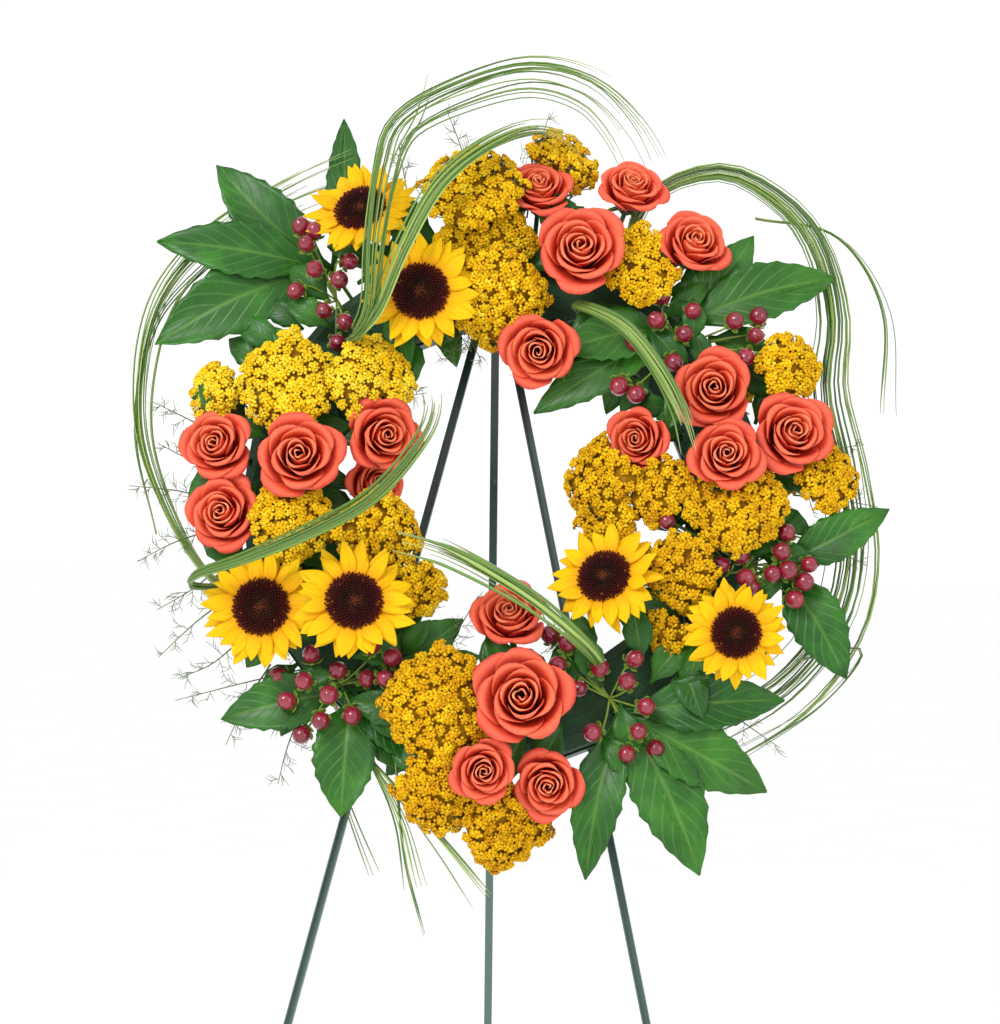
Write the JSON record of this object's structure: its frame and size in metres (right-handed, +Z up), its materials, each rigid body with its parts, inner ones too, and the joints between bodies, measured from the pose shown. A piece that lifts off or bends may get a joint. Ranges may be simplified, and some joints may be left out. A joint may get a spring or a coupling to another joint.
{
  "type": "funeral wreath on easel",
  "caption": "Open ring of roses, sunflowers, yarrow, berries, leaves and looping bear grass on a foam ring, hung on the hook of a folding steel tripod easel.",
  "frame": {"origin": "on the floor, below the middle of the whole piece's bounding box", "axes": "+Z up; the flowers face -Y, towards the viewer, and lean back with the front legs; the rear leg reaches towards +Y; +X is the viewer's right"},
  "size_m": [0.6486, 0.663, 1.4579],
  "materials": {
    "rose_petal": "velvety",
    "sunflower": "matte",
    "yarrow": "matte",
    "berry": "gloss",
    "leaf": "satin",
    "bear_grass": "satin",
    "fern": "matte",
    "floral_foam": "open-celled",
    "tray_plastic": "satin",
    "painted_steel": "satin"
  },
  "bodies": {
    "head": {"rose_01": "rose_petal", "rose_02": "rose_petal", "rose_03": "rose_petal", "rose_04": "rose_petal", "rose_05": "rose_petal", "rose_06": "rose_petal", "rose_07": "rose_petal", "rose_08": "rose_petal", "rose_09": "rose_petal", "rose_10": "rose_petal", "rose_11": "rose_petal", "rose_12": "rose_petal", "rose_13": "rose_petal", "rose_14": "rose_petal", "rose_15": "rose_petal", "rose_16": "rose_petal", "rose_17": "rose_petal", "rose_18": "rose_petal", "sunflower_01": "sunflower", "sunflower_02": "sunflower", "sunflower_03": "sunflower", "sunflower_04": "sunflower", "sunflower_05": "sunflower", "sunflower_06": "sunflower", "yarrow_top": "yarrow", "yarrow_top_right": "yarrow", "yarrow_upper_left": "yarrow", "yarrow_lower_left": "yarrow", "yarrow_inner_right": "yarrow", "yarrow_right": "yarrow", "yarrow_upper_right": "yarrow", "yarrow_outer_right": "yarrow", "yarrow_bottom_left": "yarrow", "yarrow_bottom": "yarrow", "berries_top_left": "berry", "berries_top_right": "berry", "berries_right": "berry", "berries_bottom_left": "berry", "berries_bottom_right": "berry", "leaf_top_left": "leaf", "leaf_top_right": "leaf", "leaf_right": "leaf", "leaf_bottom_right": "leaf", "leaf_bottom_left": "leaf", "grass_left_loop": "bear_grass", "grass_top_loop": "bear_grass", "grass_right_loop": "bear_grass", "grass_front_comb": "bear_grass", "grass_bottom_comb": "bear_grass", "fern_sprig": "fern", "foam_ring": "floral_foam", "ring_tray": "tray_plastic", "head_bracket": "painted_steel", "wreath_hook": "painted_steel", "hinge_pin": "painted_steel", "leg_rivet_left": "painted_steel", "leg_rivet_right": "painted_steel"},
    "front_leg_left": {"front_leg_left": "painted_steel"},
    "front_leg_right": {"front_leg_right": "painted_steel"},
    "rear_leg": {"rear_leg": "painted_steel"}
  },
  "joints": [
    {"name": "rear_leg_fold", "type": "hinge", "parent": "head", "child": "rear_leg", "pos_m": [-0.02193, -0.06712, 1.24077], "axis": [1, 0, 0], "range_deg": [-28.5, 0]},
    {"name": "left_leg_fold", "type": "hinge", "parent": "head", "child": "front_leg_left", "pos_m": [-0.02811, -0.08464, 1.21674], "axis": [0, -0.9806, 0.1959], "range_deg": [0, 12.5]},
    {"name": "right_leg_fold", "type": "hinge", "parent": "head", "child": "front_leg_right", "pos_m": [-0.01574, -0.08464, 1.21674], "axis": [0, -0.9806, 0.1959], "range_deg": [-12.5, 0]}
  ]
}
